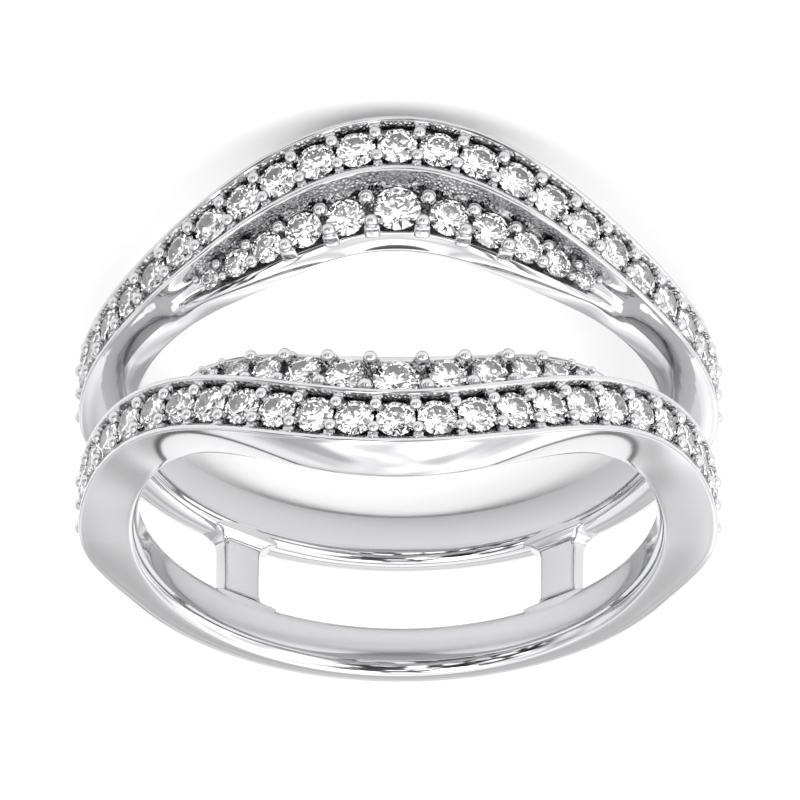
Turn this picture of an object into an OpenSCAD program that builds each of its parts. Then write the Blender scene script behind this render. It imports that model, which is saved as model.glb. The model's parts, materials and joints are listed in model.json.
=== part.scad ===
// Ring guard enhancer: two contoured bands, one each side of the gap for a plain ring,
// joined by two bridges behind the finger. It lies on its side, on the back band.
// Millimetres. In the frame that it is built in, X runs across, Y towards the stones
// and Z along the finger; lay_down() then turns it onto the surface.

/* [Finger hole] */
// Diameter of the finger hole
finger_d = 17.3; // [15:0.1:21]
// Width of the rounded edge on each side of a band's inner wall
comfort_w = 0.22; // [0.15:0.01:0.3]
// Height of that rounded edge
comfort_h = 0.3; // [0.2:0.01:0.35]
// How much further the bows' inner walls stand from the finger than the rest
bow_ease = 0.03; // [0.03:0.01:0.1]

/* [Bands] */
// Distance between the two bands' centre lines behind the finger
band_pitch = 4.38; // [3.8:0.02:5.4]
// How far each band bows away from the gap at the top
bow = 3.23; // [2.2:0.01:4]
// Angle from the top at which the bow has died out
bow_reach = 80; // [70:1:90]
// Width of a band along the stones
row_w = 2.15; // [1.75:0.01:2.3]
// Width of a band behind the finger
shank_w = 1.87; // [1.6:0.01:2.1]
// Wall of a band at the top
top_t = 1.85; // [1.6:0.01:2.3]
// Wall of a band at the sides
side_t = 2; // [1.7:0.01:2.4]
// Wall of a band behind the finger
bottom_t = 1.41; // [1.2:0.01:1.9]
// How far a band's sides are domed
side_dome = 0.1; // [0:0.01:0.12]
// How much further out than that the outer side stands at the finger, at the top
side_lean = 0.26; // [0:0.01:0.4]

/* [Stone rows] */
// Diameter of the stones in the long rows
row_stone_d = 1.34; // [1.1:0.01:1.4]
// Clear space between neighbours in the long rows
row_space = 0.05; // [0.03:0.01:0.3]
// Number of stones on each side of the middle one
row_side_count = 12; // [8:1:13]
// Space between a stone and the metal that it sits in
seat_gap = 0.03; // [0.02:0.005:0.06]

/* [Crescent] */
// Diameter of the middle stone of a crescent
crescent_stone_d = 1.58; // [1.2:0.01:1.65]
// Angle from the top at which a crescent runs out in a point
crescent_reach = 51; // [46:1:56]
// How far the crescent stones' girdles lie over the finger hole at the top
crescent_rise = 0.9; // [0.85:0.01:1]
// How much higher they lie at the crescent's ends
crescent_climb = 0.2; // [0:0.01:0.3]
// How far a crescent leans down towards the gap, in degrees
crescent_lean = 8; // [0:1:12]
// Width of the polished lip between the crescent stones and the gap, at the top
lip_w = 0.5; // [0.4:0.01:0.6]
// Its width at the crescent's ends
lip_end_w = 0.25; // [0.2:0.01:0.4]
// How far the lip's upper edge stands over the finger hole, at the top
lip_h = 0.57; // [0.5:0.01:0.65]
// How far that edge lies back from the gap, so that the lip's face is slanted, at the top
lip_slant = 0.27; // [0.1:0.01:0.3]
// How far the lip stands out into the bow at the top
lip_bow = 0.84; // [0.5:0.01:1.1]
// Angle from the top at which the lip has come back to the gap's straight side
lip_reach = 40; // [34:1:46]

/* [Bridges] */
// Width of a bridge, along the bands
bridge_w = 1.4; // [1:0.05:2.2]
// Thickness of a bridge
bridge_t = 0.72; // [0.5:0.01:0.75]
// How far a bridge's inner face lies behind the bands' inner walls
bridge_set_back = 0.3; // [0.2:0.01:0.35]
// Angle of each bridge from the back of the finger
bridge_angle = 35.5; // [20:0.5:50]
// Radius of the fillets where a bridge meets the bands
bridge_fillet = 0.45; // [0.2:0.01:0.6]

/* [Hidden] */
BANDS = ["front", "back"];
// Each crescent stone from the middle outwards: share of crescent_reach, share of crescent_stone_d
CRESCENT_STONES = [[0, 1], [0.203, 0.84], [0.37, 0.82], [0.522, 0.71], [0.654, 0.64], [0.782, 0.47]];
// The crescent's width at its tip, as a share of crescent_stone_d
TIP_SHARE = 0.12;
CRESCENT_SIDES = len(CRESCENT_STONES) - 1;
CRESCENT_NUMBERS = [for (i = [-CRESCENT_SIDES : CRESCENT_SIDES]) i];

finger_r = finger_d / 2;
centre_out = band_pitch / 2;
// Distance from the middle of the gap beyond which only the bows reach
bow_start = centre_out + shank_w / 2 + comfort_h;
// Girdle, crown, pavilion and table of a round brilliant, as shares of its diameter
GIRDLE = 0.03;
CROWN = 0.135;
PAVILION = 0.42;
TABLE = 0.56;
// How far the table lies below the rails, and the rails' inner edges from the stones
TABLE_DROP = 0.02;
row_r = finger_r + top_t - TABLE_DROP - (CROWN + GIRDLE) * row_stone_d;
row_pitch = row_stone_d + row_space;
// Number of a band's sections from the top to the row's end, and from there to the back
ROW_SECTIONS = 30;
SHANK_SECTIONS = 11;
// Angles over which the seat ends, the flat rails turn round, and the crescent ends
SEAT_FADE = 2.5;
SHANK_FADE = 26;
TIP_FADE = 6;
// How far the band's own mesh reaches inside the finger hole before the bore is cut
BITE = 0.25;
EDGE_R = 0.08;
// The rails' corners are rounder where they run out: from this angle, over this many degrees,
// to this depth below the rail and this share of a band's half width
SHOULDER_START = 70;
SHOULDER_FADE = 30;
SHOULDER_DEPTH = 0.22;
SHOULDER_SHARE = 0.12;
// Width of the little cove between a crescent's stones and the step behind them, and how far
// that step may lie under the long row's rail
COVE = 0.06;
UNDERCUT = 0.09;

function stone_name(band, i) = str("crescent_", band, "_stone_", i + CRESCENT_SIDES + 1);
function clamp(x) = min(1, max(0, x));
function ease(x) = let (t = clamp(x)) t * t * (3 - 2 * t);
function mix(p, q, t) = p + (q - p) * t;
// 1 at the top, 0 at the given reach
function bell(angle, reach, power) = pow((1 + cos(180 * min(1, abs(angle) / reach))) / 2, power);
function bow_share(angle) = bell(angle, bow_reach, 1.5);

// Distance of a band's centre line and of its lip from the middle of the gap
function centre(angle) = centre_out + bow * bow_share(angle);
function gap_side(angle) = centre_out - shank_w / 2 + lip_bow * bell(angle, lip_reach, 1.1);
// How much longer the band's line is than an arc, because it runs at a slant
function slant(angle, r) =
    let (rise = (centre(angle + 1) - centre(angle - 1)) / 2, run = r * PI / 180)
    sqrt(1 + pow(rise / run, 2));

function wall(angle) =
    let (ends = abs(angle) < 90 ? top_t : bottom_t) mix(ends, side_t, pow(sin(angle), 2));
function rail_r(angle) = finger_r + wall(angle);
function girdle_r(angle) = rail_r(angle) - (finger_r + top_t - row_r);

// Places of the long row's stones: equal steps along the slanting line
function row_step(angle) =
    let (guess = angle + row_pitch / slant(angle, row_r) / row_r * 90 / PI)
    row_pitch / slant(guess, row_r) / girdle_r(guess) * 180 / PI;
function row_angles(count, angle = 0) =
    count < 0 ? [] : concat([angle], row_angles(count - 1, angle + row_step(angle)));
ROW = row_angles(row_side_count);
row_end = ROW[row_side_count] + (row_stone_d / 2 + 2 * seat_gap) / girdle_r(90) * 180 / PI;

// Radius of the crescent's seat at an angle, from the stones' own shares
SEAT_TABLE = concat(
    [for (s = CRESCENT_STONES) [s[0], s[1]]],
    [[1, TIP_SHARE], [2, TIP_SHARE]]
);
function crescent_stone_r(angle) = crescent_stone_d / 2 * lookup(abs(angle) / crescent_reach, SEAT_TABLE);
function crescent_r(angle) = finger_r + crescent_rise + crescent_climb * ease(abs(angle) / crescent_reach);
function lip(angle) = mix(lip_w, lip_end_w, ease(1.5 * abs(angle) / crescent_reach - 0.45));
function crescent_out(angle) = gap_side(angle) + lip(angle) + crescent_stone_r(angle);

// One section of a band: points of distance from the gap and radius, from the inner edge
// of the outer side over the rails and the crescent to the inner edge on the gap side
function section(angle) =
    let (
        c = centre(angle),
        tilt = slant(angle, row_r),
        plain = ease((abs(angle) - row_end) / SHANK_FADE),
        half = mix(row_w, shank_w, ease(abs(angle) / 90)) / 2 * tilt,
        edge_r = finger_r + comfort_h,
        rail = rail_r(angle),
        crown = min(shank_w / 2, wall(angle) - comfort_h),
        rounding = ease((abs(angle) - SHOULDER_START) / SHOULDER_FADE),
        shoulder = [mix(EDGE_R, SHOULDER_SHARE, rounding), mix(EDGE_R, SHOULDER_DEPTH, rounding)],
        spring = mix(rail - shoulder[1], rail - crown, plain),
        lean = side_dome * dome_share(spring - edge_r) + side_lean * pow(bow_share(angle), 1.5)
    )
    concat(
        inner_edge(c + half + lean, -1),
        side_points(c + half, spring, edge_r, lean),
        top_points(angle, c, half, tilt, plain, rail, crown, shoulder),
        gap_points(angle, c - half, spring, edge_r),
        reversed(inner_edge(gap_side(angle), 1))
    );
function reversed(list) = [for (i = [len(list) - 1 : -1 : 0]) list[i]];
// The rounded edge between a band's side and the finger hole; way is towards the band's middle
function inner_edge(out, way) = [
    [out + way * (comfort_w + 0.25), finger_r - BITE],
    [out + way * comfort_w * 0.9, finger_r + 0.02],
    [out + way * comfort_w * 0.35, finger_r + comfort_h * 0.4],
    [out, finger_r + comfort_h]
];
// Share of the full doming on a side of the given height
function dome_share(height) = height / (top_t - comfort_h);
// How far the gap side bulges, t of the way up
function dome(t, height) = side_dome * dome_share(height) * 4 * t * (1 - t);
// The outer side, upright at the finger's edge and curving in up to the rail
function side_points(out, top, bottom, lean) = [
    for (t = [0.25, 0.6, 0.88])
    [out + lean * (1 - t * t), mix(bottom, top, t)]
];
// Over the top: rail, seat for the long row, rail; fading into a round crown behind the finger
function top_points(angle, c, half, tilt, plain, rail, crown, shoulder) =
    let (
        closed = clamp((abs(angle) - row_end) / SEAT_FADE),
        stone = (row_stone_d / 2 + seat_gap) * tilt / half,
        seat = mix(girdle_r(angle) - seat_gap, rail, closed),
        floor = mix(girdle_r(angle) - PAVILION * row_stone_d - 3 * seat_gap, rail, closed),
        rim = (1 + stone) / 2,
        across = shoulder[0],
        down = shoulder[1],
        rows = [
            [1, rail - down], [1 - 0.3 * across, rail - 0.3 * down], [1 - across, rail],
            [rim, rail], [stone, seat], [stone / 2, (seat + floor) / 2], [0, floor],
            [-stone / 2, (seat + floor) / 2], [-stone, seat], [-rim, rail],
            [across - 1, rail], [0.3 * across - 1, rail - 0.3 * down], [-1, rail - down]
        ]
    )
    [for (p = rows) [c + half * p[0], mix(p[1], rail - crown + crown * sqrt(1 - p[0] * p[0]), plain)]];
// Down the gap side: step, crescent seat and lip, fading into a plain domed side past the tip
function gap_points(angle, out, top, bottom) =
    let (
        there = ease((crescent_reach + TIP_FADE - abs(angle)) / TIP_FADE),
        seat = crescent_r(angle),
        r = (crescent_stone_r(angle) + seat_gap) * slant(angle, seat),
        mid = crescent_out(angle),
        low = gap_side(angle),
        step = min(mid + r + COVE, out + UNDERCUT),
        upright = ease(abs(angle) / crescent_reach),
        set_in = lip_slant * (1 - upright),
        lip_r = mix(finger_r + lip_h, seat - (mid - low) * tan(crescent_lean), upright),
        depth = r * 2 * PAVILION + 2 * seat_gap,
        rows = [
            [0.86, step, seat + r * tan(crescent_lean) + 2 * COVE],
            [0.74, min(mid + r, step - COVE / 2), seat + r * tan(crescent_lean) - seat_gap],
            [0.6, mid + depth * sin(crescent_lean), seat - depth * cos(crescent_lean)],
            [0.46, mid - r, seat - r * tan(crescent_lean) - seat_gap],
            [0.3, low + set_in + EDGE_R / 2, lip_r],
            [0.15, low + set_in / 2, mix(bottom, lip_r - EDGE_R, mix(0.55, 1, upright))]
        ]
    )
    [
        for (p = rows)
        mix(
            [mix(low, out, p[0]) - dome(p[0], top - bottom), mix(bottom, top, p[0])],
            [p[1], p[2]],
            there
        )
    ];

// Angles of a band's sections, all the way round
seat_end = row_end + SEAT_FADE;
SIDE_ANGLES = concat(
    [for (i = [1 : ROW_SECTIONS]) i * row_end / ROW_SECTIONS],
    [for (i = [0 : SHANK_SECTIONS - 1]) mix(seat_end, 180, i / SHANK_SECTIONS)]
);
ANGLES = concat([0], SIDE_ANGLES, [180], [for (a = reversed(SIDE_ANGLES)) -a]);
SECTIONS = [for (a = ANGLES) section(a)];
BAND_POINTS = [
    for (i = [0 : len(ANGLES) - 1]) for (p = SECTIONS[i])
    [p[1] * sin(ANGLES[i]), p[1] * cos(ANGLES[i]), p[0]]
];

// How the ring lies: on the bow's tip and the back of the shank, turned by lying_tilt
function lowest(points, tilt) =
    let (heights = [for (p = points) p[1] * cos(tilt) - p[0] * sin(tilt)])
    points[search(max(heights), heights)[0]];
function tilt_of(top, back) = atan2(top[1] - back[1], top[0] - back[0]);
TOP_OUTLINE = [for (p = section(0)) [p[1], p[0]]];
BACK_OUTLINE = [for (p = section(180)) [-p[1], p[0]]];
function settle(tilt, turns) =
    turns == 0 ? tilt : settle(tilt_of(lowest(TOP_OUTLINE, tilt), lowest(BACK_OUTLINE, tilt)), turns - 1);
lying_tilt = settle(10, 4);
function laid_y(p, way) = p[1] * cos(lying_tilt) - way * p[2] * sin(lying_tilt);
function laid_z(p, way) = p[1] * sin(lying_tilt) + way * p[2] * cos(lying_tilt);
Y_REACH = [for (way = [-1, 1]) for (p = BAND_POINTS) laid_y(p, way)];
y_middle = (min(Y_REACH) + max(Y_REACH)) / 2;
z_lowest = min([for (p = BAND_POINTS) laid_z(p, -1)]);

module lay_down() {
    translate([0, y_middle, -z_lowest]) rotate([0, 0, 180]) rotate([lying_tilt, 0, 0]) children();
}

// A closed hoop lofted through rings of points, each ring with the same number of them
module hoop(points, ring) {
    rings = len(points) / ring;
    polyhedron(points, [
        for (i = [0 : rings - 1]) for (j = [0 : ring - 1])
        let (
            a = i * ring + j,
            b = i * ring + (j + 1) % ring,
            c = (i + 1) % rings * ring + (j + 1) % ring,
            d = (i + 1) % rings * ring + j
        )
        each [[a, b, c], [a, c, d]]
    ]);
}

// The front band; the back band is its mirror image
module band() {
    hoop(BAND_POINTS, len(SECTIONS[0]));
}

module bridge() {
    length = band_pitch - shank_w;
    foot = 0.4;
    wide = bridge_w + 2 * bridge_fillet;
    translate([0, -finger_r - bridge_set_back, 0]) rotate([90, 0, 0])
        linear_extrude(bridge_t) difference() {
            square([wide, length + 2 * foot], center = true);
            for (side = [-1, 1]) waist_cut(side * wide / 2, length);
        }
}

// What is taken off one side of a bridge: straight, with a quarter circle at each end
module waist_cut(x, length) {
    reach = length / 2 - bridge_fillet;
    translate([x, 0]) square([2 * bridge_fillet, 2 * reach], center = true);
    for (end = [-1, 1]) translate([x, end * reach]) circle(bridge_fillet, $fn = 32);
}

module gold_frame() {
    color("gainsboro") lay_down() difference() {
        union() {
            for (way = [0, 1]) mirror([0, 0, way]) band();
            for (side = [-1, 1]) rotate([0, 0, side * bridge_angle]) bridge();
        }
        cylinder(r = finger_r, h = 4 * (centre_out + bow), center = true, $fn = 128);
        for (way = [0, 1]) mirror([0, 0, way]) translate([0, 0, bow_start])
            cylinder(r = finger_r + bow_ease, h = centre_out + bow, $fn = 128);
    }
}

// A round brilliant with its girdle at z = 0, its table up and its point down
module cut_stone(d) {
    sides = 8;
    r = d / 2;
    levels = [[TABLE * r, (CROWN + GIRDLE) * d], [r, GIRDLE * d], [r, 0]];
    points = [
        for (level = levels) for (i = [0 : sides - 1])
        let (turn = (i + 0.5) * 360 / sides) [level[0] * cos(turn), level[0] * sin(turn), level[1]]
    ];
    sheets = [
        for (k = [0, 1]) for (i = [0 : sides - 1])
        [k * sides + i, k * sides + (i + 1) % sides, (k + 1) * sides + (i + 1) % sides, (k + 1) * sides + i]
    ];
    point = [for (i = [0 : sides - 1]) [2 * sides + i, 2 * sides + (i + 1) % sides, 3 * sides]];
    table = [for (i = [sides - 1 : -1 : 0]) i];
    polyhedron(concat(points, [[0, 0, -PAVILION * d]]), concat([table], sheets, point));
}

// Puts a stone that stands on z = 0 at an angle round the finger, turned to follow the band
module at(angle, r, out, lean, turn) {
    rotate([0, 0, -angle]) translate([0, r, out]) rotate([-90 - lean, 0, 0]) rotate([0, 0, turn]) children();
}

function row_turn(angle) = atan2(centre(angle + 1) - centre(angle - 1), 2 * row_r * PI / 180);

module row_stones(way) {
    color("azure") lay_down() mirror([0, 0, way])
        for (i = [-row_side_count : row_side_count])
            let (angle = sign(i) * ROW[abs(i)])
            at(angle, girdle_r(angle), centre(angle), 0, -row_turn(angle)) cut_stone(row_stone_d);
}

module crescent_stone(way, i) {
    angle = sign(i) * CRESCENT_STONES[abs(i)][0] * crescent_reach;
    color("azure") lay_down() mirror([0, 0, way])
        at(angle, crescent_r(angle), crescent_out(angle), crescent_lean, 0)
            cut_stone(crescent_stone_d * CRESCENT_STONES[abs(i)][1]);
}

gold_frame();
row_stones(0);  // row_stones_front
row_stones(1);  // row_stones_back
for (way = [0, 1]) for (i = CRESCENT_NUMBERS)
    crescent_stone(way, i);
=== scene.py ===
"""Ring guard enhancer: the detailed look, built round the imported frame.

Shapes are worked out in millimetres in the ring's own frame, where X runs across, Y towards the
stones and Z along the finger. laid() then turns them into the row's frame, in metres.
"""
import json
import math

import bpy
import numpy as np
from mathutils import Matrix, Vector


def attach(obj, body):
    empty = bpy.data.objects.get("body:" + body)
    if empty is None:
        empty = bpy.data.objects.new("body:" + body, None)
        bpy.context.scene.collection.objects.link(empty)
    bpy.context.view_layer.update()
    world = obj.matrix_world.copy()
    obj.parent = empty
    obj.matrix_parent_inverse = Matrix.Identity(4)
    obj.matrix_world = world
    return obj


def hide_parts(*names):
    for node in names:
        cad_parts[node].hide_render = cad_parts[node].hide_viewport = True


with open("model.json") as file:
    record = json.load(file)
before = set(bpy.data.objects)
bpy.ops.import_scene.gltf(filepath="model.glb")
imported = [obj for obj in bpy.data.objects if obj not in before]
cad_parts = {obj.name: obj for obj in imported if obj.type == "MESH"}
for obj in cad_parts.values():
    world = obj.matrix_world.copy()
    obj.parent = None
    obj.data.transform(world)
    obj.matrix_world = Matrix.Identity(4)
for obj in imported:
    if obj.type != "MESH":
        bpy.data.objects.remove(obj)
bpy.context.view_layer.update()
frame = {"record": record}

# Sizes of the CAD part, in millimetres and degrees
FINGER_HOLE = next(m for m in frame["record"]["mounts"] if m["name"] == "finger_hole")
FINGER_R = FINGER_HOLE["dims"]["r_mm"]
COMFORT_H = 0.3
BAND_PITCH = 4.38
BOW = 3.23
BOW_REACH = 80
ROW_W = 2.15
SHANK_W = 1.87
TOP_T = 1.85
SIDE_T = 2.0
BOTTOM_T = 1.41
SIDE_DOME = 0.1
SIDE_LEAN = 0.26
ROW_STONE_D = 1.34
ROW_SPACE = 0.05
ROW_SIDE_COUNT = 12
SEAT_GAP = 0.03
CRESCENT_STONE_D = 1.58
CRESCENT_REACH = 51
CRESCENT_RISE = 0.9
CRESCENT_CLIMB = 0.2
CRESCENT_LEAN = math.radians(8)
LIP_W = 0.5
LIP_END_W = 0.25
LIP_H = 0.57
LIP_SLANT = 0.27
LIP_BOW = 0.84
LIP_REACH = 40
BRIDGE_W = 1.4
BRIDGE_T = 0.72
BRIDGE_SET_BACK = 0.3
BRIDGE_ANGLE = 35.5
# Each crescent stone from the middle outwards: share of CRESCENT_REACH, share of CRESCENT_STONE_D
CRESCENT_STONES = [(0, 1), (0.203, 0.84), (0.37, 0.82), (0.522, 0.71), (0.654, 0.64), (0.782, 0.47)]
TIP_SHARE = 0.12
GIRDLE = 0.03
CROWN = 0.135
PAVILION = 0.42
TABLE = 0.56
TABLE_DROP = 0.02
SHANK_FADE = 26
EDGE_R = 0.08
SHOULDER_START = 70
SHOULDER_FADE = 30
SHOULDER_DEPTH = 0.22
SHOULDER_SHARE = 0.12
COVE = 0.06
UNDERCUT = 0.09
CENTRE_OUT = BAND_PITCH / 2
ROW_R = FINGER_R + TOP_T - TABLE_DROP - (CROWN + GIRDLE) * ROW_STONE_D
ROW_PITCH = ROW_STONE_D + ROW_SPACE
ROW_DROP = FINGER_R + TOP_T - ROW_R

# Sizes that the scene adds, or softens

COMFORT_W = 0.45
# How much further back the finger's wall stands at its edges than in its middle
WALL_CROWN = 0.1
# Flat part of a rail's top, from its rounded corner to the row's trench, and the trench's depth
RAIL_FLAT = 0.14
TRENCH = 0.92
# Angle over which the trench ends, angle past a crescent's reach at which its seat is gone,
# and angle over which that seat fades
ROW_END_SLOPE = 0.6
TIP_END = 2
TIP_FADE = 12
# A bridge's fillets at the bands, how far its inner face curves in towards the finger there, how
# far it reaches into the bands, and the radius of its softened edges
BRIDGE_FILLET = 0.55
BRIDGE_COVE = 0.25
BRIDGE_FOOT = 0.35
BRIDGE_RIM = 0.16

# The long row's cut metal: the blocks behind the beads are BLOCK_W wide, start BLOCK_FROM from the
# row's line and lie BLOCK_DROP below the rails; channels and webs lie below the girdles
BLOCK_W = 0.4
BLOCK_DROP = 0.06
BLOCK_FROM = 0.42
CHANNEL_DEPTH = 0.14
CHANNEL_SLOPE = 2.6
WEB_DEPTH = 0.16
SEAT_SLOPE = 0.9
# Widths over which blocks, webs and seats change into each other, and over which the painted shade fades
# out inside the seats
BLOCK_EDGE = 0.05
WEB_EDGE = 0.06
SEAT_EDGE = 0.04
# Depth under the blocks' tops at which the painted shade makes the cut metal darkest
SHADE_DEPTH = 0.42
# How far the strip of seats stands off the trench's floor, and its width as a share of the trench's
STRIP_LIFT = 0.03
STRIP_SHARE = 1.004

# Beads: distance from the row's line, radius and height over the girdles
ROW_BEAD_OUT = 0.45
ROW_BEAD_R = 0.23
ROW_BEAD_LIFT = 0.17
# A crescent's outer beads: place across its line as a share of the stones' radius, height over the
# girdles, and radius as a fixed part and a share of the stones' radius
OUTER_BEAD_ACROSS = 0.68
OUTER_BEAD_LIFT = 0.14
OUTER_BEAD_R = 0.05
OUTER_BEAD_SHARE = 0.31
# A crescent's inner beads: largest radius, how much smaller the last ones are, and the angles
# between which they shrink
INNER_BEAD_R = 0.25
INNER_BEAD_TAPER = 0.12
INNER_BEAD_FULL = 26
INNER_BEAD_LEAST = 40
# Their height over the girdles and distance from the crescent's line, as shares of the stones' radius
INNER_BEAD_LIFT = 0.45
INNER_BEAD_ACROSS = 0.8
# How far along the gaps' angles they stand, near the middle and further out, and those angles
INNER_BEAD_NEAR = 0.89
INNER_BEAD_FAR = 0.97
INNER_BEAD_NEAR_END = 8
INNER_BEAD_FAR_START = 28
# Tabs below the inner beads: angle from the top within which there are any, thickness and half
# width as shares of the bead's radius, and where they start and end on the way from lip to bead
TAB_REACH = 25
TAB_THICK = 0.55
TAB_HALF_W = 1.12
TAB_ENDS = (0.26, 0.6)
# How far the foot of a tab's line lies back from the lip's edge, in thicknesses
TAB_BACK = 0.9

# Points of a section from the gap side's top on, and those of the cut step and of the cut seat
CRESCENT_POINTS = 47
STEP_FROM = -1
STEP_TO = 2
SEAT_FROM = 9
SEAT_TO = 17
# Angle from the top to which the metal round the crescent is cut, and over which its painted shade fades
CUT_REACH = 41
CUT_SHADE_FADE = 4
# How much painted shade darkens the step, the seat and the seat's side at the lip, by how hollow they
# are
STEP_SHADE = 0.12
SEAT_SHADE = 0.4
SEAT_SIDE_SHADE = 0.1

MM = 0.001
BANDS = {"front": 1, "back": -1}


def laid_matrix():
    """From the ring's own frame in millimetres to the row's frame in metres, as the mount says."""
    along = Vector(FINGER_HOLE["axis"]).normalized()
    across = Vector((-1, 0, 0))
    up = along.cross(across).normalized()
    turn = Matrix((across, up, along)).transposed().to_4x4()
    return Matrix.Translation(Vector(FINGER_HOLE["pos_m"])) @ turn @ Matrix.Scale(MM, 4)


LAID = np.array(laid_matrix())


def laid(points):
    points = np.asarray(points, float).reshape(-1, 3)
    return points @ LAID[:3, :3].T + LAID[:3, 3]


def ease(x):
    t = np.clip(x, 0, 1)
    return t * t * (3 - 2 * t)


def mix(p, q, t):
    return p + (q - p) * t


def turned(x, y, turn):
    """x and y turned about the origin by an angle in radians."""
    return x * math.cos(turn) - y * math.sin(turn), x * math.sin(turn) + y * math.cos(turn)


def bell(angle, reach, power):
    """1 at the top, 0 at the given reach."""
    return ((1 + np.cos(np.pi * np.minimum(1, np.abs(angle) / reach))) / 2) ** power


def bow_share(angle):
    return bell(angle, BOW_REACH, 1.5)


def centre(angle):
    return CENTRE_OUT + BOW * bow_share(angle)


def gap_side(angle):
    return CENTRE_OUT - SHANK_W / 2 + LIP_BOW * bell(angle, LIP_REACH, 1.1)


def slope(line, angle, r):
    """How steeply a line of the band runs, as rise over run."""
    return (line(angle + 1) - line(angle - 1)) / 2 / (r * math.pi / 180)


def slant(angle, r):
    return np.sqrt(1 + slope(centre, angle, r) ** 2)


def wall(angle):
    ends = np.where(np.abs(angle) < 90, TOP_T, BOTTOM_T)
    return mix(ends, SIDE_T, np.sin(np.radians(angle)) ** 2)


def rail_r(angle):
    return FINGER_R + wall(angle)


def girdle_r(angle):
    return rail_r(angle) - ROW_DROP


def row_angles():
    """Angles of the long row's stones from the middle outwards: equal steps along the slanting line."""
    angles = [0.0]
    for _ in range(ROW_SIDE_COUNT):
        a = angles[-1]
        guess = a + ROW_PITCH / slant(a, ROW_R) / ROW_R * 90 / math.pi
        angles.append(float(a + ROW_PITCH / slant(guess, ROW_R) / girdle_r(guess) * 180 / math.pi))
    return angles


ROW = row_angles()
ROW_ALL = [-a for a in ROW[:0:-1]] + ROW
ROW_END = ROW[-1] + math.degrees((ROW_STONE_D / 2 + 2 * SEAT_GAP) / float(girdle_r(90)))

SEAT_SHARES = [s[0] for s in CRESCENT_STONES] + [1, 2]
SEAT_SIZES = [s[1] for s in CRESCENT_STONES] + [TIP_SHARE, TIP_SHARE]


def crescent_stone_r(angle):
    return CRESCENT_STONE_D / 2 * np.interp(np.abs(angle) / CRESCENT_REACH, SEAT_SHARES, SEAT_SIZES)


def crescent_r(angle):
    return FINGER_R + CRESCENT_RISE + CRESCENT_CLIMB * ease(np.abs(angle) / CRESCENT_REACH)


def lip(angle):
    return mix(LIP_W, LIP_END_W, ease(1.5 * np.abs(angle) / CRESCENT_REACH - 0.45))


def crescent_out(angle):
    return gap_side(angle) + lip(angle) + crescent_stone_r(angle)


def polar(angle, r, out):
    """Points of the ring's own frame from angles, radii and distances from the gap's middle."""
    a = np.radians(angle)
    return np.stack(np.broadcast_arrays(r * np.sin(a), r * np.cos(a), out), axis=-1)


# Sections of the bands

def dome_share(height):
    return height / (TOP_T - COMFORT_H)


def dome(t, height):
    return SIDE_DOME * dome_share(height) * 4 * t * (1 - t)


def pairs(out, r):
    return np.stack(np.broadcast_arrays(out, r), axis=-1)


def corner(before, at, after, reach, steps):
    """A rounded corner: curves from reach before the corner to reach after it, for each section."""
    def towards(other):
        side = other - at
        length = np.linalg.norm(side, axis=-1, keepdims=True)
        return at + side * np.minimum(0.48, reach / np.maximum(length, 1e-6))
    start, end = towards(before), towards(after)
    return [mix(mix(start, at, t), mix(at, end, t), t) for t in np.linspace(0, 1, steps)]


def outer_side(angle, low, top, lean):
    """From the finger's wall round the comfort edge and up the outer side to the rail."""
    edge = FINGER_R + COMFORT_H
    turns = np.linspace(0, math.pi / 2, 9)
    foot = low + lean
    points = [
        pairs(foot - COMFORT_W * (1 - math.sin(t)), FINGER_R + COMFORT_H * (1 - math.cos(t)) + 0 * angle)
        for t in turns
    ]
    for t in np.linspace(0, 1, 13)[1:-1]:
        points.append(pairs(low + lean * (1 - t**2), mix(edge, top, t)))
    return points


def band_top(angle, c, half, tilt, rail, crown, plain, across, down):
    """Over the rails and the trench for the long row, or over the plain round back."""
    closed = ease((np.abs(angle) - ROW_END) / ROW_END_SLOPE)
    floor = rail - TRENCH * (1 - closed)
    edge = EDGE_R * tilt
    turns = np.linspace(0, math.pi / 2, 6)
    rows = [(half * (1 - across * (1 - math.cos(t))), rail - down * (1 - math.sin(t))) for t in turns]
    inner = half - edge - RAIL_FLAT * tilt
    rows.append((inner, rail))
    rows += [(inner * share, floor) for share in np.linspace(0.999, -0.999, 15)]
    rows += [(-x, r) for x, r in rows[6::-1]]
    points = []
    for x, r in rows:
        share = np.clip(x / half, -1, 1)
        points.append(pairs(c + x, mix(r, rail - crown + crown * np.sqrt(1 - share**2), plain)))
    return points


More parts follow.
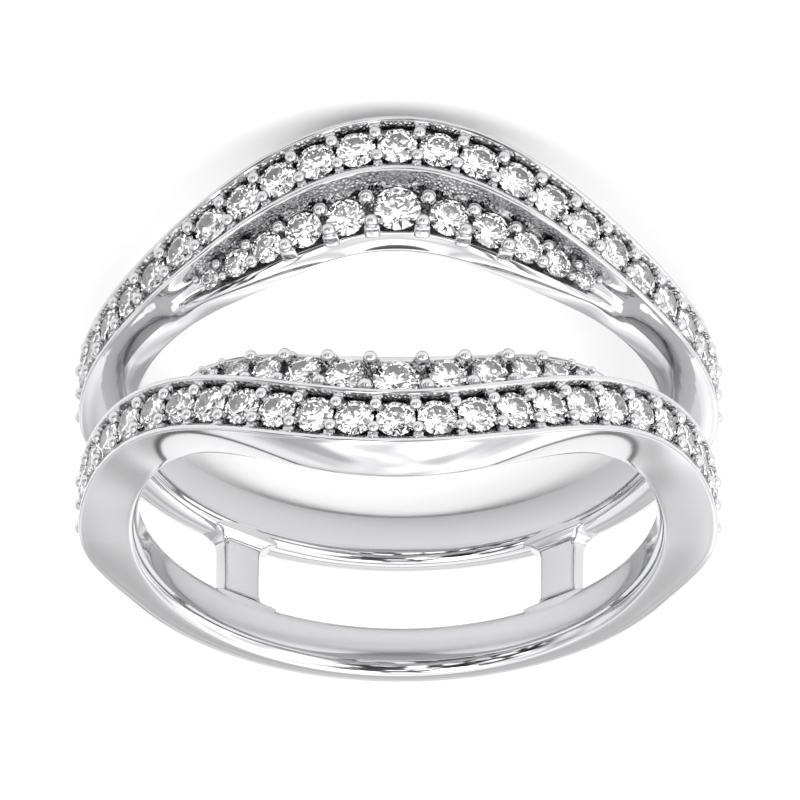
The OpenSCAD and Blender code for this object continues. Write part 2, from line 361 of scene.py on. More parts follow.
def gap_run(angle, out, top):
    """Down the gap side: step, cove, crescent seat and lip, or a plain domed side past the tip."""
    edge = FINGER_R + COMFORT_H
    there = ease((CRESCENT_REACH + TIP_END - np.abs(angle)) / TIP_FADE)[:, None]
    seat = crescent_r(angle)
    r = (crescent_stone_r(angle) + SEAT_GAP) * slant(angle, seat)
    mid = crescent_out(angle)
    low = gap_side(angle)
    rise = r * math.tan(CRESCENT_LEAN)
    step = np.minimum(mid + r + COVE, out + UNDERCUT)
    upright = ease(np.abs(angle) / CRESCENT_REACH)
    set_in = LIP_SLANT * (1 - upright)
    lip_r = mix(FINGER_R + LIP_H, seat - (mid - low) * math.tan(CRESCENT_LEAN), upright)
    depth = r * 2 * PAVILION + 2 * SEAT_GAP
    floor = pairs(mid + depth * math.sin(CRESCENT_LEAN), seat - depth * math.cos(CRESCENT_LEAN))
    # Share of the way up the plain side, the crescent's corner, its rounding and the steps in it
    rows = [
        (0.86, pairs(step, seat + rise + 2 * COVE), 0.22, 7),
        (0.74, pairs(np.minimum(mid + r, step - COVE / 2), seat + rise - SEAT_GAP), 0.02, 3),
        (0.6, floor, 0.1, 3),
        (0.46, pairs(mid - r, seat - rise - SEAT_GAP), 0.02, 3),
        (0.3, pairs(low + set_in + EDGE_R / 2, lip_r), 0.06, 5),
        (0.15, pairs(low + set_in / 2, mix(edge, lip_r - EDGE_R, mix(0.55, 1, upright))), 0.15, 5),
    ]
    corners = []
    for share, at, reach, steps in rows:
        plain = pairs(mix(low, out, share) - dome(share, top - edge), mix(edge, top, share))
        corners.append((mix(plain, at, there), reach, steps))
    start, end = pairs(out, top), pairs(low, edge + 0 * angle)
    line = [start] + [at for at, _, _ in corners] + [end]
    points = []
    for i, (at, reach, steps) in enumerate(corners):
        points.append(mix(line[i], at, 0.5))
        points += corner(line[i], at, line[i + 2], reach, steps)
    return points


def gap_foot(angle):
    """Round the comfort edge on the gap side, and back along the finger's wall."""
    low = gap_side(angle)
    turns = np.linspace(math.pi / 2, 0, 9)
    return [
        pairs(low + COMFORT_W * (1 - math.sin(t)), FINGER_R + COMFORT_H * (1 - math.cos(t)) + 0 * angle)
        for t in turns
    ]


def sections(angle):
    c = centre(angle)
    tilt = slant(angle, ROW_R)
    plain = ease((np.abs(angle) - ROW_END) / SHANK_FADE)
    half = mix(ROW_W, SHANK_W, ease(np.abs(angle) / 90)) / 2 * tilt
    rail = rail_r(angle)
    crown = np.minimum(SHANK_W / 2, wall(angle) - COMFORT_H)
    round_off = ease((np.abs(angle) - SHOULDER_START) / SHOULDER_FADE)
    across, down = mix(EDGE_R, SHOULDER_SHARE, round_off), mix(EDGE_R, SHOULDER_DEPTH, round_off)
    spring = mix(rail - down, rail - crown, plain)
    lean = SIDE_DOME * dome_share(spring - FINGER_R - COMFORT_H) + SIDE_LEAN * bow_share(angle) ** 1.5
    points = outer_side(angle, c + half, spring, lean)
    points += band_top(angle, c, half, tilt, rail, crown, plain, across, down)
    points += gap_run(angle, c - half, spring)
    foot = gap_foot(angle)
    points += foot
    for t in np.linspace(0, 1, 8)[1:-1]:
        points.append(mix(foot[-1], points[0], t))
    points = np.stack(points, axis=1)
    # The finger's wall is a little higher in its middle, so the comfort edges set back from it
    near = 1 - np.clip((points[..., 1] - FINGER_R) / COMFORT_H, 0, 1)
    low, high = gap_side(angle)[:, None], (c + half + lean)[:, None]
    across = (points[..., 0] - mix(low, high, 0.5)) / (high - low)
    points[..., 1] += near * WALL_CROWN * (2 * across) ** 2
    return points


# Meshes

def add_mesh(name, points, faces, material, smooth=True):
    mesh = bpy.data.meshes.new(name)
    mesh.from_pydata(laid(points).tolist(), [], faces)
    mesh.validate()
    mesh.materials.append(material)
    mesh.polygons.foreach_set("use_smooth", [smooth] * len(mesh.polygons))
    mesh.update()
    obj = bpy.data.objects.new(name, mesh)
    bpy.context.scene.collection.objects.link(obj)
    return obj


def shade_by(obj, hollow):
    """Stores painted shade for each point, from how hollow its surroundings are; the cut metal's
    material darkens its colour by it.
    """
    attribute = obj.data.attributes.new("hollow", "FLOAT", "POINT")
    attribute.data.foreach_set("value", hollow.astype(np.float32).ravel())


def finished(obj, slot, *nodes):
    """Every piece rides on the one body and may stand for CAD nodes, which are hidden; the slot argument
    is not used.
    """
    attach(obj, "root")
    if nodes:
        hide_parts(*nodes)
    return obj


def grid_faces(rows, columns, closed_rows, closed_columns, flip):
    """Quads of a grid of points, with either direction closed into a loop."""
    i = np.arange(rows if closed_rows else rows - 1)
    j = np.arange(columns if closed_columns else columns - 1)
    i, j = (x.ravel() for x in np.meshgrid(i, j, indexing="ij"))
    right = (j + 1) % columns
    here, below = i * columns, (i + 1) % rows * columns
    quads = np.stack([here + j, here + right, below + right, below + j], 1)
    return (quads[:, ::-1] if flip else quads).tolist()


def band_angles():
    near = np.linspace(0, ROW_END - 0.6, 190)
    end = np.linspace(ROW_END - 0.4, ROW_END + 1.2, 9)
    back = np.linspace(ROW_END + 2, 180, 90)
    side = np.concatenate([near, end, back])
    return np.concatenate([side, -side[-2:0:-1]])


def make_band(band, way, material, cut_material):
    angles = band_angles()
    profile = sections(angles)
    points = polar(angles[:, None], profile[..., 1], way * profile[..., 0])
    faces = grid_faces(*profile.shape[:2], True, True, way > 0)
    obj = add_mesh(f"band_{band}", points, faces, material)
    columns = profile.shape[1]
    start = columns - CRESCENT_POINTS
    row, column = np.divmod(np.arange(points.size // 3), columns)
    column -= start
    # Painted shade for the cut metal: the cut step and seat are darkened, fading out past CUT_REACH
    step = np.where(column < STEP_TO, STEP_SHADE, 0)
    seat = np.interp(
        column,
        [SEAT_FROM - 1, SEAT_FROM, SEAT_TO - 3, SEAT_TO],
        [0, SEAT_SHADE, SEAT_SHADE, SEAT_SIDE_SHADE],
    )
    shade_reach = ease((CUT_REACH - np.abs(angles[row])) / CUT_SHADE_FADE)
    shade_by(obj, np.maximum(step, seat) * shade_reach)
    obj.data.materials.append(cut_material)
    # The corner of each face that comes first in the grid
    first = np.array([face[0] if way < 0 else face[3] for face in faces])
    at = first % columns - start
    is_cut = ((at >= STEP_FROM) & (at < STEP_TO)) | ((at >= SEAT_FROM) & (at < SEAT_TO))
    is_cut &= np.abs(angles[first // columns]) < CUT_REACH
    obj.data.polygons.foreach_set("material_index", is_cut.astype(np.int32))
    return obj


# The long row's seats

def row_places(angle, across_share):
    """For points of the strip: distance from the gap's middle, and where that is in the row."""
    tilt = slant(angle, ROW_R)
    half = mix(ROW_W, SHANK_W, ease(np.abs(angle) / 90)) / 2 * tilt - (EDGE_R + RAIL_FLAT) * tilt
    offset = half * across_share
    turn = np.arctan(slope(centre, angle, ROW_R))
    index = np.interp(angle, ROW_ALL, np.arange(len(ROW_ALL)))
    beyond = np.where(np.abs(angle) > ROW[-1], np.sign(angle) * (np.abs(angle) - ROW[-1]), 0)
    along = index * ROW_PITCH + np.radians(beyond) * girdle_r(angle) + offset * np.sin(turn)
    return centre(angle) + offset, along, offset * np.cos(turn), half / tilt


def seat_height(along, across, inner):
    """Height of the cut metal over the girdles: channels, blocks behind the beads, webs and seats."""
    last = (len(ROW_ALL) - 1) * ROW_PITCH
    nearest = np.clip(np.round(along / ROW_PITCH) * ROW_PITCH, 0, last)
    from_stone = np.abs(along - nearest)
    from_gap = np.abs(from_stone - ROW_PITCH / 2)
    side = np.abs(across)
    channel = np.maximum(ROW_DROP - (inner - side) * CHANNEL_SLOPE, -CHANNEL_DEPTH)
    block = ease((BLOCK_W / 2 - from_gap) / BLOCK_EDGE) * ease((side - BLOCK_FROM) / WEB_EDGE + 0.5)
    height = mix(channel, ROW_DROP - BLOCK_DROP, block)
    web = ease((BLOCK_FROM - side) / WEB_EDGE + 0.5)
    height = mix(height, -WEB_DEPTH, web * (1 - block))
    distance = np.hypot(from_stone, across)
    seat_r = (ROW_STONE_D + SEAT_GAP) / 2
    cut = ease((seat_r - distance) / SEAT_EDGE + 0.5)
    cone = -SEAT_GAP - SEAT_SLOPE * np.maximum(0, seat_r - distance)
    return mix(height, np.minimum(height, cone), cut)


def make_row_seats(band, way, material):
    """A closed strip in the band's trench, with the seats on its top."""
    angles = np.linspace(-ROW_END - 0.2, ROW_END + 0.2, 860)[:, None]
    # More columns towards the strip's sides
    widest = math.radians(72)
    shares = np.sin(np.linspace(-widest, widest, 54)) / math.sin(widest) * STRIP_SHARE
    out, along, across, inner = row_places(angles, shares[None, :])
    top = girdle_r(angles) + seat_height(along, across, inner)
    under = rail_r(angles) - TRENCH + STRIP_LIFT
    underside = polar(angles, under, way * out[:, [-1, 0]])
    rings = np.concatenate([polar(angles, top, way * out), underside], axis=1)
    rows, columns = rings.shape[:2]
    faces = grid_faces(rows, columns, False, True, way < 0)
    caps = [list(range(columns)), list(range((rows - 1) * columns, rows * columns))]
    caps[0 if way < 0 else 1].reverse()
    obj = add_mesh(f"row_seats_{band}", rings, faces + caps, material)
    # Painted shade: the cut metal darkens with depth under the blocks' tops, not inside the seats, and
    # fully on the hidden underside
    hollow = ease((rail_r(angles) - top - BLOCK_DROP) / SHADE_DEPTH)
    in_seat = ROW_STONE_D / 2 - np.hypot(along - np.round(along / ROW_PITCH) * ROW_PITCH, across)
    hollow *= 1 - ease(in_seat / BLOCK_EDGE)
    shade_by(obj, np.concatenate([hollow, np.ones((rows, 2))], axis=1))
    return obj


# Beads and tabs

def ball(rings=10, sides=18):
    """A unit ball: points and faces."""
    points = [(0, 0, 1)]
    for i in range(1, rings):
        tilt = math.pi * i / rings
        for j in range(sides):
            turn = 2 * math.pi * j / sides
            points.append((*turned(math.sin(tilt), 0, turn), math.cos(tilt)))
    points.append((0, 0, -1))
    faces = [[0, 1 + j, 1 + (j + 1) % sides] for j in range(sides)]
    for i in range(rings - 2):
        for j in range(sides):
            a, b = 1 + i * sides + j, 1 + i * sides + (j + 1) % sides
            faces.append([a, a + sides, b + sides, b])
    last, start = len(points) - 1, 1 + (rings - 2) * sides
    faces += [[last, start + (j + 1) % sides, start + j] for j in range(sides)]
    return np.array(points), faces


def joined(shapes):
    """One list of points and faces from many."""
    points, faces, count = [], [], 0
    for p, f in shapes:
        points.append(p)
        faces += [[i + count for i in face] for face in f]
        count += len(p)
    return np.concatenate(points), faces


def row_bead_places():
    """Angle, radius and distance from the gap's middle of each bead: two in each gap of the row."""
    mids = [(a + b) / 2 for a, b in zip(ROW_ALL, ROW_ALL[1:])]
    half_step = (ROW_ALL[-1] - ROW_ALL[-2]) / 2
    for a in [ROW_ALL[0] - half_step] + mids + [ROW_ALL[-1] + half_step]:
        r = float(girdle_r(a))
        turn = math.atan(float(slope(centre, a, r)))
        for side in (-1, 1):
            w = side * ROW_BEAD_OUT
            yield a - math.degrees(w * math.sin(turn) / r), r, float(centre(a)) + w * math.cos(turn)


def make_row_beads(band, way, material):
    unit, faces = ball()
    shapes = []
    for angle, r, out in row_bead_places():
        middle = polar(angle, r + ROW_BEAD_LIFT, way * out)
        shapes.append((middle + unit * ROW_BEAD_R, faces))
    return add_mesh(f"row_beads_{band}", *joined(shapes), material)


def crescent_gaps():
    """Angle and neighbours' radius for each gap of a crescent, the ends included."""
    side = [(share * CRESCENT_REACH, size * CRESCENT_STONE_D / 2) for share, size in CRESCENT_STONES]
    stones = [(-a, r) for a, r in side[:0:-1]] + side
    for (a, ra), (b, rb) in zip(stones, stones[1:]):
        yield a + (b - a) * ra / (ra + rb)
    end = side[-1][0] + math.degrees(side[-1][1] * 1.15 / float(crescent_r(50)))
    yield -end
    yield end


def crescent_point(angle, across, lift):
    """A point of a crescent: at an angle, across its line and above its girdles."""
    r = float(crescent_r(angle))
    turn = math.atan(float(slope(crescent_out, angle, r)))
    at = angle - math.degrees(across * math.sin(turn) / r)
    flat = across * math.cos(turn)
    out = float(crescent_out(angle)) + flat * math.cos(CRESCENT_LEAN) - lift * math.sin(CRESCENT_LEAN)
    return at, r + flat * math.sin(CRESCENT_LEAN) + lift * math.cos(CRESCENT_LEAN), out


def inner_bead(angle):
    """Angle, radius, distance from the gap's middle and size of the bead on the lip's side of a gap."""
    size = float(crescent_stone_r(angle))
    further = ease((abs(angle) - INNER_BEAD_NEAR_END) / (INNER_BEAD_FAR_START - INNER_BEAD_NEAR_END))
    near = angle * mix(INNER_BEAD_NEAR, INNER_BEAD_FAR, float(further))
    taper = ease((abs(angle) - INNER_BEAD_FULL) / (INNER_BEAD_LEAST - INNER_BEAD_FULL))
    radius = float(crescent_r(near)) + INNER_BEAD_LIFT * size
    out = float(crescent_out(near)) - INNER_BEAD_ACROSS * size
    return near, radius, out, INNER_BEAD_R - INNER_BEAD_TAPER * float(taper)


def outer_bead(angle):
    """The same for the bead on the step's side of a gap."""
    size = float(crescent_stone_r(angle))
    at, radius, out = crescent_point(angle, OUTER_BEAD_ACROSS * size, OUTER_BEAD_LIFT)
    return at, radius, out, OUTER_BEAD_R + OUTER_BEAD_SHARE * size


def make_crescent_beads(band, way, material):
    unit, faces = ball(12, 22)
    shapes = []
    for angle in crescent_gaps():
        for at, radius, out, r in (outer_bead(angle), inner_bead(angle)):
            shapes.append((polar(at, radius, way * out) + unit * r, faces))
    return add_mesh(f"crescent_beads_{band}", *joined(shapes), material)


def tab(start, end, across, half_w, half_t, sides=28, rings=7):
    """A flat bar with rounded edges and ends between two points."""
    start, end = np.asarray(start, float), np.asarray(end, float)
    along = (end - start) / np.linalg.norm(end - start)
    u = across - along * (across @ along)
    u /= np.linalg.norm(u)
    v = np.cross(along, u)
    loops = []
    for middle, way in ((start, -1), (end, 1)):
        tilts = np.linspace(0, math.pi / 2, rings)
        for tilt in tilts[::-1] if way < 0 else tilts:
            loops.append((middle + along * way * half_t * math.sin(tilt), max(math.cos(tilt), 1e-3)))
    points, faces = [], []
    for middle, share in loops:
        inset = half_t * (1 - share)
        for turn in np.linspace(0, 2 * math.pi, sides, endpoint=False):
            x, y = (math.copysign(abs(w) ** 0.75, w) for w in (math.cos(turn), math.sin(turn)))
            points.append(middle + u * x * (half_w - inset) + v * y * (half_t - inset))
    for i in range(len(loops) - 1):
        for j in range(sides):
            a, b = i * sides + j, i * sides + (j + 1) % sides
            faces.append([a, b, b + sides, a + sides])
    faces.append(list(range(sides))[::-1])
    faces.append([(len(loops) - 1) * sides + j for j in range(sides)])
    return np.array(points), faces


def make_prongs(band, way, material):
    """The polished tabs that run up from the lip to the middle ones of the inner beads."""
    shapes = []
    for angle in crescent_gaps():
        if abs(angle) > TAB_REACH:
            continue
        near, radius, out, r = inner_bead(angle)
        upright = float(ease(abs(near) / CRESCENT_REACH))
        lip_width = float(crescent_out(near) - gap_side(near))
        end_r = float(crescent_r(near)) - lip_width * math.tan(CRESCENT_LEAN)
        edge_r = mix(FINGER_R + LIP_H, end_r, upright)
        edge_out = float(gap_side(near)) + LIP_SLANT * (1 - upright)
        thick = TAB_THICK * r
        ends = [
            polar(near, mix(edge_r, radius, share), way * mix(edge_out + TAB_BACK * thick, out, share))
            for share in TAB_ENDS
        ]
        tangent = np.array([math.cos(math.radians(near)), -math.sin(math.radians(near)), 0])
        shapes.append(tab(*ends, tangent, TAB_HALF_W * r, thick))
    return add_mesh(f"prongs_{band}", *joined(shapes), material)


# Bridges

def make_bridge(name, side, material):
    """A bar between the bands with hollow fillets at both ends and softened edges."""
    length = BAND_PITCH - SHANK_W
    reach = length / 2 + BRIDGE_FOOT
    stations = np.linspace(-reach, reach, 81)
    loops = []
    for z in stations:
        into = min(1.0, max(0.0, abs(z) - (length / 2 - BRIDGE_FILLET)) / BRIDGE_FILLET)
        flare = 1 - math.sqrt(1 - into**2)
        half_w = BRIDGE_W / 2 + BRIDGE_FILLET * flare
        half_t = BRIDGE_T / 2
        cove = BRIDGE_COVE * into**3
        loop = []
        for cx, cy, start in ((1, 1, 0), (-1, 1, 90), (-1, -1, 180), (1, -1, 270)):
            for turn in np.radians(np.linspace(start, start + 90, 6)):
                x = cx * (half_w - BRIDGE_RIM) + BRIDGE_RIM * math.cos(turn)
                y = cy * (half_t - BRIDGE_RIM) + BRIDGE_RIM * math.sin(turn) + (cove if cy > 0 else 0)
                loop.append((x, y, z))
        loops.append(loop)
    loops = np.array(loops)
    middle_r = FINGER_R + BRIDGE_SET_BACK + BRIDGE_T / 2
    x, y = turned(loops[..., 0], loops[..., 1] - middle_r, math.radians(side * BRIDGE_ANGLE))
    points = np.stack([x, y, loops[..., 2]], -1)
    rows, columns = points.shape[:2]
    faces = grid_faces(rows, columns, False, True, False)
    faces.append(list(range(columns)))
    faces.append([(rows - 1) * columns + j for j in range(columns)][::-1])
    return add_mesh(name, points, faces, material)


# Stones

def brilliant():
    """A round brilliant of diameter 1 with its girdle at z = 0: points and its flat facets."""
    R = 0.5
    top = CROWN + GIRDLE
    crown_rise = CROWN / (R - TABLE * R)
    half = math.pi / 8
    star_r = 0.76 * R
    lower_r = 0.25 * R

    def ring(r, z, offset, count=8):
        turns = [offset + 2 * math.pi * k / count for k in range(count)]
        return [(r * math.cos(turn), r * math.sin(turn), z) for turn in turns]

    points = ring(TABLE * R, top, 0)
    points += ring(star_r, GIRDLE + (R - star_r * math.cos(half)) * crown_rise, half)
    points += ring(R, GIRDLE, 0, 16)
    points += ring(R, 0, 0, 16)
    points += ring(lower_r, -PAVILION * (1 - lower_r * math.cos(half) / R), half)
    points.append((0, 0, -PAVILION))
    T, J, G, B, L, C = 0, 8, 16, 32, 48, 56
    faces = [list(range(8))]
    for k in range(8):
        n, p = (k + 1) % 8, (k - 1) % 8
        g, m, gn = 2 * k, 2 * k + 1, (2 * k + 2) % 16
        faces.append([T + k, J + k, T + n])
        faces.append([T + k, J + p, G + g, J + k])
        faces.append([J + k, G + g, G + m])
        faces.append([J + k, G + m, G + gn])
        faces.append([G + g, B + g, B + m, G + m])
        faces.append([G + m, B + m, B + gn, G + gn])
        faces.append([L + k, B + m, B + g])
        faces.append([L + k, B + gn, B + m])
        faces.append([C, L + k, B + g, L + p])
    return np.array(points), faces


def placed_stone(angle, r, out, lean, turn, d, way):
    """The stone's points at an angle round the finger, leaned and turned as in the CAD part."""
    unit, faces = brilliant()
    p = unit * d
    x, y = turned(p[:, 0], p[:, 1], turn)
    # The stone's axis becomes the radius, leaned towards the gap
    axial, up = turned(y, p[:, 2], lean)
    x, y = turned(x, r + up, -math.radians(angle))
    return np.stack([x, y, way * (out + axial)], -1), faces


def make_stones(name, places, way, material):
    shapes = []
    for number, (angle, r, out, lean, d) in enumerate(places):
        points, faces = placed_stone(angle, r, out, lean, math.radians(137.5 * number % 45), d, way)
        # Outward faces: the facets are listed for one handedness, and the back band mirrors them
        shapes.append((points, [f[::-1] for f in faces] if way > 0 else faces))
    return add_mesh(name, *joined(shapes), material, smooth=False)


def row_stone_places():
    return [(a, float(girdle_r(a)), float(centre(a)), 0, ROW_STONE_D) for a in ROW_ALL]


def crescent_stone_places():
    side = [(share * CRESCENT_REACH, size * CRESCENT_STONE_D) for share, size in CRESCENT_STONES]
    both = [(-a, d) for a, d in side[:0:-1]] + side
    return [(a, float(crescent_r(a)), float(crescent_out(a)), CRESCENT_LEAN, d) for a, d in both]


# Materials

def new_material(name):
    material = bpy.data.materials.new(name)
    material.use_nodes = True
    tree = material.node_tree
    return material, tree, tree.nodes["Principled BSDF"]


def white_gold():
    """Rhodium-white polished gold: mirror bright, with the faint unevenness of hand polish."""
    material, tree, bsdf = new_material("white_gold_polished")
    bsdf.inputs["Base Color"].default_value = (0.56, 0.56, 0.57, 1)
    bsdf.inputs["Metallic"].default_value = 1
    place = tree.nodes.new("ShaderNodeTexCoord")
    polish = tree.nodes.new("ShaderNodeTexNoise")
    polish.inputs["Scale"].default_value = 260
    polish.inputs["Detail"].default_value = 2
    rough = tree.nodes.new("ShaderNodeMapRange")
    rough.inputs["To Min"].default_value = 0.05
    rough.inputs["To Max"].default_value = 0.1
    bump = tree.nodes.new("ShaderNodeBump")
    bump.inputs["Strength"].default_value = 0.02
    bump.inputs["Distance"].default_value = 0.0002
    tree.links.new(place.outputs["Object"], polish.inputs["Vector"])
    tree.links.new(polish.outputs["Fac"], rough.inputs["Value"])
    tree.links.new(rough.outputs["Result"], bsdf.inputs["Roughness"])
    tree.links.new(polish.outputs["Fac"], bump.inputs["Height"])
    tree.links.new(bump.outputs["Normal"], bsdf.inputs["Normal"])
    return material


def cut_gold():
    """The same gold where a graver has cut it: small facets with a random grain, and painted shade that
    darkens it in the hollows.
    """
    material, tree, bsdf = new_material("white_gold_cut")
    bsdf.inputs["Metallic"].default_value = 1
    bsdf.inputs["Roughness"].default_value = 0.2
    place = tree.nodes.new("ShaderNodeTexCoord")
    cuts = tree.nodes.new("ShaderNodeTexVoronoi")
    cuts.inputs["Scale"].default_value = 9000
    # Painted shade: the stored hollowness is added to the grain and pushes the colour towards the dark
    # end of the ramp
    hollow = tree.nodes.new("ShaderNodeAttribute")
    hollow.attribute_name = "hollow"
    grain_and_shade = tree.nodes.new("ShaderNodeMath")
    grain_and_shade.operation = "MULTIPLY_ADD"
    grain_and_shade.inputs[1].default_value = 0.5
    tone = tree.nodes.new("ShaderNodeValToRGB")
    tone.color_ramp.elements[0].position = 0.15
    tone.color_ramp.elements[0].color = (0.6, 0.6, 0.61, 1)
    tone.color_ramp.elements[1].position = 0.75
    tone.color_ramp.elements[1].color = (0.13, 0.13, 0.132, 1)
    bump = tree.nodes.new("ShaderNodeBump")
    bump.inputs["Strength"].default_value = 0.7
    bump.inputs["Distance"].default_value = 0.00005
    tree.links.new(place.outputs["Object"], cuts.inputs["Vector"])
    tree.links.new(cuts.outputs["Distance"], grain_and_shade.inputs[0])
    tree.links.new(hollow.outputs["Fac"], grain_and_shade.inputs[2])
    tree.links.new(grain_and_shade.outputs[0], tone.inputs["Fac"])
    tree.links.new(tone.outputs["Color"], bsdf.inputs["Base Color"])
    tree.links.new(cuts.outputs["Distance"], bump.inputs["Height"])
    tree.links.new(bump.outputs["Normal"], bsdf.inputs["Normal"])
    return material


def diamond():
    material, tree, bsdf = new_material("diamond")
    bsdf.inputs["Base Color"].default_value = (1, 1, 1, 1)
    bsdf.inputs["Roughness"].default_value = 0.0
    bsdf.inputs["IOR"].default_value = 2.42
    bsdf.inputs["Transmission Weight"].default_value = 1
    return material


gold = white_gold()
cut = cut_gold()
stone = diamond()

first_nodes = {"front": ["gold_frame"], "back": []}
for band, way in BANDS.items():
    finished(make_band(band, way, gold, cut), "white_gold", *first_nodes[band])
    finished(make_row_seats(band, way, cut), "white_gold")
    finished(make_row_beads(band, way, gold), "white_gold")
    finished(make_crescent_beads(band, way, gold), "white_gold")
    finished(make_prongs(band, way, gold), "white_gold")
    rows = make_stones(f"row_brilliants_{band}", row_stone_places(), way, stone)
    finished(rows, "diamond", f"row_stones_{band}")
    count = 2 * len(CRESCENT_STONES) - 1
    crescent = make_stones(f"crescent_brilliants_{band}", crescent_stone_places(), way, stone)
    finished(crescent, "diamond", *[f"crescent_{band}_stone_{i + 1}" for i in range(count)])
for number, side in enumerate((-1, 1), 1):
    finished(make_bridge(f"bridge_{number}", side, gold), "white_gold")


# Stage, light and camera

# How bright the tent is to each side of the picture, and how much less at the horizon and
# more overhead, with the parts of the sky's unit ball between which each changes
TENT_RIGHT = 1.7
TENT_LEFT = 1.12
TENT_SIDES = (-0.9, 0.9)
TENT_HORIZON = 0.15
HORIZON_EDGE = (0.01, 0.04)
TENT_TOP = 1.5
OVERHEAD = (0.35, 0.95)
# The tent's soft folds: how many, how dark and light they are, and the noise that gives each
TENT_FOLDS = 2.5
TENT_SHADES = (0.58, 1.25)
FOLD_NOISE = (0.35, 0.65)
# The tent's opening behind the camera: panes between dark bars, and where it fades out
OPENING_DARK = 0.06
OPENING_LIGHT = 1.5
OPENING_PANES = 5
PANE_EDGE = (0.28, 0.4)
OPENING_BACK = (-0.45, -0.25)
OPENING_SIDE = (-0.5, -0.25)
# The key lamp, in metres and watts
KEY_PLACE = (0.08, -0.12, 0.2)
KEY_SIZE = 0.06
KEY_POWER = 0.05
KEY_TARGET = (0, 0, 0.005)
FLOOR_REACH = 0.6


def make_floor():
    corners = [(x * FLOOR_REACH, y * FLOOR_REACH, 0) for x, y in ((-1, -1), (1, -1), (1, 1), (-1, 1))]
    mesh = bpy.data.meshes.new("floor")
    mesh.from_pydata(corners, [], [[0, 1, 2, 3]])
    floor = bpy.data.objects.new("floor", mesh)
    bpy.context.scene.collection.objects.link(floor)
    material, _, bsdf = new_material("floor")
    bsdf.inputs["Base Color"].default_value = (0.95, 0.95, 0.95, 1)
    bsdf.inputs["Roughness"].default_value = 0.9
    mesh.materials.append(material)


def make_key_lamp():
    data = bpy.data.lights.new("key", "AREA")
    data.shape = "RECTANGLE"
    data.size = data.size_y = KEY_SIZE
    data.energy = KEY_POWER
    lamp = bpy.data.objects.new("key", data)
    lamp.location = KEY_PLACE
    lamp.rotation_mode = "QUATERNION"
    lamp.rotation_quaternion = (Vector(KEY_TARGET) - Vector(KEY_PLACE)).to_track_quat("-Z", "Y")
    bpy.context.scene.collection.objects.link(lamp)


def step_between(tree, value, ends, at_low, at_high):
    """A smooth change from at_low to at_high while the value goes from one end to the other."""
    low, high = ends
    node = tree.nodes.new("ShaderNodeMapRange")
    node.interpolation_type = "SMOOTHSTEP"
    node.inputs["From Min"].default_value = low
    node.inputs["From Max"].default_value = high
    node.inputs["To Min"].default_value = at_low
    node.inputs["To Max"].default_value = at_high
    tree.links.new(value, node.inputs["Value"])
    return node.outputs["Result"]


def product(tree, values):
    total = values[0]
    for value in values[1:]:
        node = tree.nodes.new("ShaderNodeMath")
        node.operation = "MULTIPLY"
        tree.links.new(total, node.inputs[0])
        tree.links.new(value, node.inputs[1])
        total = node.outputs[0]
    return total


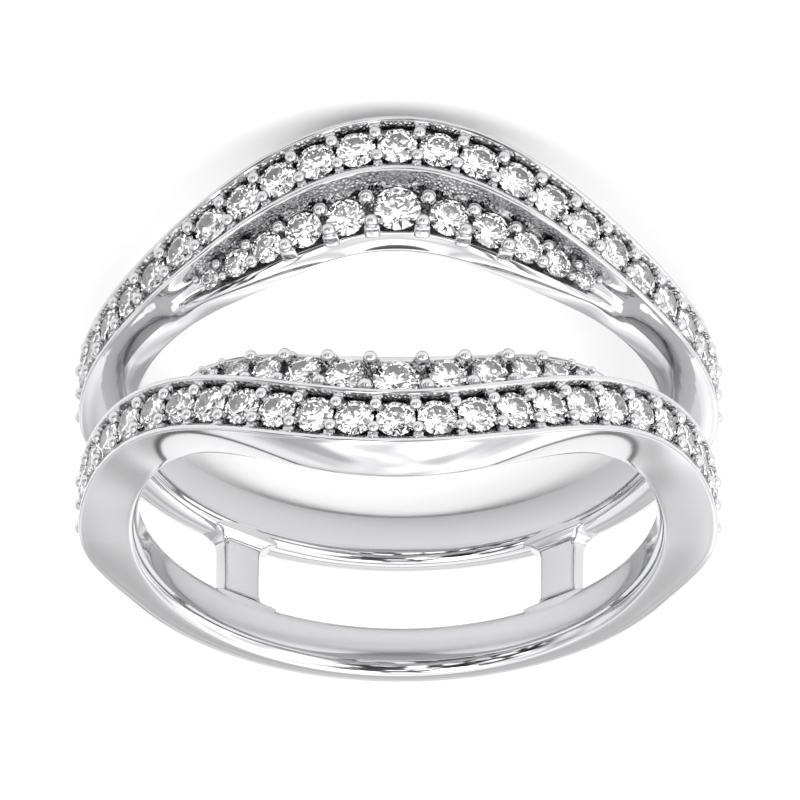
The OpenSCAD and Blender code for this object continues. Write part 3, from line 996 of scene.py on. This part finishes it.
def make_world():
    """A white tent: dimmer on one side and behind the camera, with a dark line at the horizon."""
    world = bpy.data.worlds.new("studio")
    bpy.context.scene.world = world
    world.use_nodes = True
    tree = world.node_tree
    place = tree.nodes.new("ShaderNodeTexCoord")
    split = tree.nodes.new("ShaderNodeSeparateXYZ")
    tree.links.new(place.outputs["Generated"], split.inputs[0])
    x, y, z = (split.outputs[axis] for axis in "XYZ")
    height = tree.nodes.new("ShaderNodeMath")
    height.operation = "ABSOLUTE"
    tree.links.new(z, height.inputs[0])
    panes = tree.nodes.new("ShaderNodeTexVoronoi")
    panes.distance = "CHEBYCHEV"
    panes.inputs["Scale"].default_value = OPENING_PANES
    tree.links.new(place.outputs["Generated"], panes.inputs["Vector"])
    opening = step_between(tree, panes.outputs["Distance"], PANE_EDGE, OPENING_LIGHT, OPENING_DARK)
    cover = tree.nodes.new("ShaderNodeMix")
    cover.inputs["B"].default_value = 1
    beside = tree.nodes.new("ShaderNodeMath")
    beside.operation = "MAXIMUM"
    tree.links.new(step_between(tree, y, OPENING_BACK, 0, 1), beside.inputs[0])
    tree.links.new(step_between(tree, x, OPENING_SIDE, 1, 0), beside.inputs[1])
    tree.links.new(beside.outputs[0], cover.inputs["Factor"])
    tree.links.new(opening, cover.inputs["A"])
    folds = tree.nodes.new("ShaderNodeTexNoise")
    folds.inputs["Scale"].default_value = TENT_FOLDS
    folds.inputs["Detail"].default_value = 1
    tree.links.new(place.outputs["Generated"], folds.inputs["Vector"])
    strength = product(tree, [
        step_between(tree, z, OVERHEAD, 1, TENT_TOP),
        step_between(tree, x, TENT_SIDES, TENT_RIGHT, TENT_LEFT),
        step_between(tree, folds.outputs["Fac"], FOLD_NOISE, *TENT_SHADES),
        cover.outputs["Result"],
        step_between(tree, height.outputs[0], HORIZON_EDGE, TENT_HORIZON, 1),
    ])
    background = tree.nodes["Background"]
    background.inputs["Color"].default_value = (1, 1, 1, 1)
    tree.links.new(strength, background.inputs["Strength"])


# Camera: the photograph's angle to the ring, found by fitting the ring's outline
PHOTO_TILT = math.radians(57)
PHOTO_TURN = math.radians(-0.3)
PHOTO_SPIN = math.radians(-0.35)
PIXELS_PER_MM = 30.05
PICTURE = 800
# Where it aims, across and up the picture from the middle of the ring, in millimetres, and how
# far away it stands, in metres
AIM_RIGHT = 0.05
AIM_UP = 1.68
AWAY = 0.1


def make_camera():
    across = Vector((math.cos(PHOTO_SPIN), math.sin(PHOTO_SPIN), 0))
    stones = Vector((-math.sin(PHOTO_SPIN), math.cos(PHOTO_SPIN), 0))
    finger = Vector((0, 0, 1))
    right = across * math.cos(PHOTO_TURN) + finger * math.sin(PHOTO_TURN)
    along = finger * math.cos(PHOTO_TURN) - across * math.sin(PHOTO_TURN)
    up = stones * math.cos(PHOTO_TILT) - along * math.sin(PHOTO_TILT)
    back = along * math.cos(PHOTO_TILT) + stones * math.sin(PHOTO_TILT)
    matrix = laid_matrix()
    spin = matrix.to_3x3() * (1 / MM)
    aim = matrix @ (right * AIM_RIGHT + up * AIM_UP)
    turn = Matrix((spin @ right, spin @ up, spin @ back)).transposed()
    data = bpy.data.cameras.new("camera")
    data.type = "ORTHO"
    data.ortho_scale = PICTURE / PIXELS_PER_MM * MM
    data.clip_start = 0.001
    camera = bpy.data.objects.new("camera", data)
    camera.matrix_world = Matrix.Translation(aim + spin @ back * AWAY) @ turn.to_4x4()
    bpy.context.scene.collection.objects.link(camera)
    bpy.context.scene.camera = camera


make_floor()
make_world()
make_camera()
make_key_lamp()
bpy.context.scene.view_settings.view_transform = "Standard"
